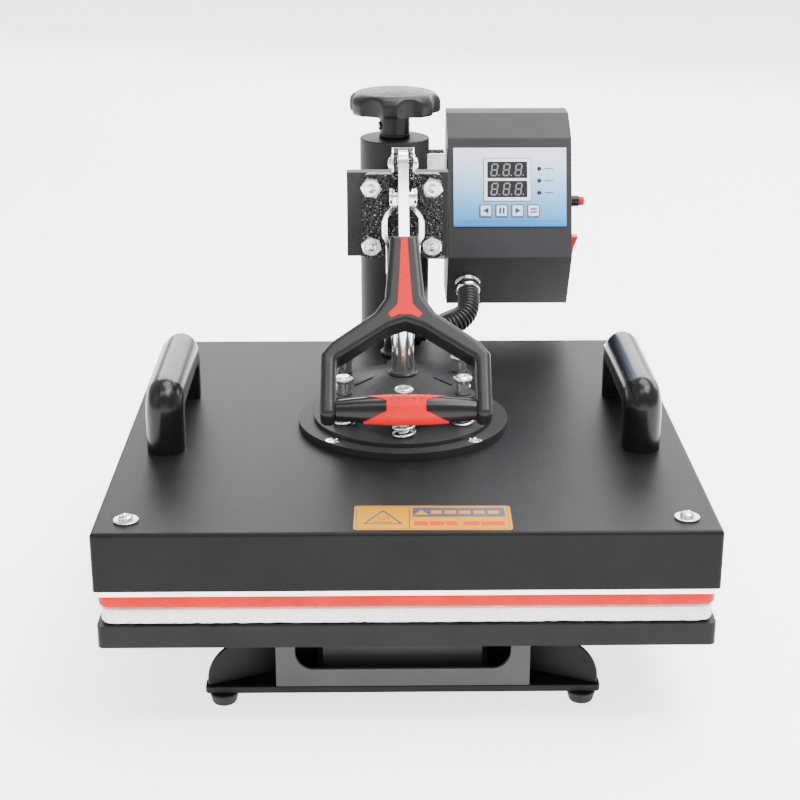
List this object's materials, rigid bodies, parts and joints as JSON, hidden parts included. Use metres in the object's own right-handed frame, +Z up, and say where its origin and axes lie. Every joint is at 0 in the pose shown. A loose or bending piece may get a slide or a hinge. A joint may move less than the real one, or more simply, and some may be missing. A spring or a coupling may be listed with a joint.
{
  "type": "swing-away heat press",
  "caption": "Flat square-platen heat press: toggle lever with fork handle, swing arm on a column, sprung plunger, folded control box, hose and mains lead.",
  "frame": {"origin": "middle of the press's footprint at the surface it stands on, with the mains lead, its coil and plug and the hose left out", "axes": "+Z up, front (handle side) towards -Y, control box on the +X side"},
  "size_m": [0.39, 0.596, 0.341],
  "materials": {
    "black_coat": "fine satin powder coat",
    "base_coat": "satin powder coat",
    "hammered_coat": "black hammered enamel",
    "dark_steel": "oiled dark steel",
    "bright_chrome": "polished chrome plate",
    "zinc_plate": "bright zinc plate",
    "bare_aluminium": "milled",
    "red_silicone": "soft matt silicone foam",
    "white_felt": "pressed felt",
    "insulation": "ceramic fibre",
    "matte_black": "satin moulded",
    "gloss_black": "gloss moulded",
    "red_plastic": "satin moulded",
    "foot_rubber": "matt",
    "overlay_film": "printed polyester film, satin",
    "key_film": "satin",
    "display_glass": "smoked window",
    "board_green": "solder mask",
    "label_yellow": "printed sticker",
    "hose_black": "ribbed polyamide",
    "cord_black": "PVC jacket"
  },
  "bodies": {
    "base": {"base_plate": "base_coat", "front_support_panel": "base_coat", "base_wings": "base_coat", "support_channel": "base_coat", "rubber_feet": "foot_rubber", "column_post": "dark_steel", "column_gussets": "base_coat", "lower_tray": "base_coat", "felt_pad": "white_felt", "silicone_pad": "red_silicone", "tray_bolts": "zinc_plate", "mains_lead": "cord_black", "cord_coil": "cord_black", "mains_plug": "cord_black"},
    "swing_arm": {"swing_sleeve": "black_coat", "arm_side_plates": "black_coat", "arm_end_plate": "dark_steel", "toggle_body": "hammered_coat", "clamp_bolts": "zinc_plate", "upper_pivot_pin": "bright_chrome", "box_bracket": "zinc_plate", "box_shell": "black_coat", "box_back_cover": "black_coat", "control_overlay": "overlay_film", "display_window": "display_glass", "control_board": "board_green", "fuse_holder": "gloss_black", "switch_bezel": "gloss_black", "box_screws": "zinc_plate", "hose_gland": "bright_chrome", "strain_relief": "cord_black"},
    "knob": {"pressure_knob": "matte_black", "knob_spindle": "dark_steel"},
    "handle": {"toggle_lever": "bright_chrome", "handle_fork": "matte_black", "fork_inlay": "red_plastic", "grip_bar": "matte_black", "grip_insert": "red_plastic", "lower_pivot_pin": "bright_chrome"},
    "links": {"toggle_links": "bright_chrome"},
    "heat_platen": {"plunger": "bright_chrome", "spider_plate": "black_coat", "pressure_springs": "zinc_plate", "spring_bolts": "bright_chrome", "small_disc": "black_coat", "outer_disc": "black_coat", "disc_screws": "bright_chrome", "platen_cover": "black_coat", "heating_plate": "bare_aluminium", "insulation_blanket": "insulation", "cover_screws": "bright_chrome", "platen_label": "label_yellow", "side_handles": "gloss_black", "conduit_hose": "hose_black", "hose_elbow": "matte_black"},
    "key_down_body": {"key_down": "key_film"},
    "key_mode_body": {"key_mode": "key_film"},
    "key_up_body": {"key_up": "key_film"},
    "key_start_body": {"key_start": "key_film"},
    "rocker": {"rocker_switch": "red_plastic"}
  },
  "joints": [
    {"name": "arm_swing", "type": "hinge", "parent": "base", "child": "swing_arm", "pos_m": [-0.0034, 0.195, 0.2], "axis": [0, 0, 1], "range_deg": [-110, 110], "deforming": ["mains_lead"]},
    {"name": "knob_turn", "type": "hinge", "parent": "swing_arm", "child": "knob", "pos_m": [-0.0034, 0.195, 0.32], "axis": [0, 0, 1], "continuous": true},
    {"name": "handle_swing", "type": "hinge", "parent": "swing_arm", "child": "handle", "pos_m": [0, -0.045, 0.328], "axis": [-1, 0, 0], "range_deg": [0, 105]},
    {"name": "link_pivot", "type": "hinge", "parent": "handle", "child": "links", "pos_m": [0, -0.045, 0.305], "axis": [1, 0, 0], "range_deg": [0, 130.5]},
    {"name": "platen_lift", "type": "slide", "parent": "swing_arm", "child": "heat_platen", "axis": [0, 0, 1], "range_m": [0, 0.034], "deforming": ["conduit_hose"]},
    {"name": "power_rock", "type": "hinge", "parent": "swing_arm", "child": "rocker", "pos_m": [0.1425, 0.18, 0.2127], "axis": [0, -1, 0], "range_deg": [0, 18]},
    {"name": "key_down_press", "type": "slide", "parent": "swing_arm", "child": "key_down_body", "axis": [0, 0.938, -0.3467], "range_m": [0, 0.0008], "stiffness_N_per_m": 400, "springref_m": -0.0005},
    {"name": "key_mode_press", "type": "slide", "parent": "swing_arm", "child": "key_mode_body", "axis": [0, 0.938, -0.3467], "range_m": [0, 0.0008], "stiffness_N_per_m": 400, "springref_m": -0.0005},
    {"name": "key_up_press", "type": "slide", "parent": "swing_arm", "child": "key_up_body", "axis": [0, 0.938, -0.3467], "range_m": [0, 0.0008], "stiffness_N_per_m": 400, "springref_m": -0.0005},
    {"name": "key_start_press", "type": "slide", "parent": "swing_arm", "child": "key_start_body", "axis": [0, 0.938, -0.3467], "range_m": [0, 0.0008], "stiffness_N_per_m": 400, "springref_m": -0.0005}
  ],
  "couplings": [
    {"joint": "link_pivot", "follows": "handle_swing", "ratio": 1.241},
    {"joint": "platen_lift", "follows": "handle_swing", "m_per_rad": 0.0185}
  ]
}
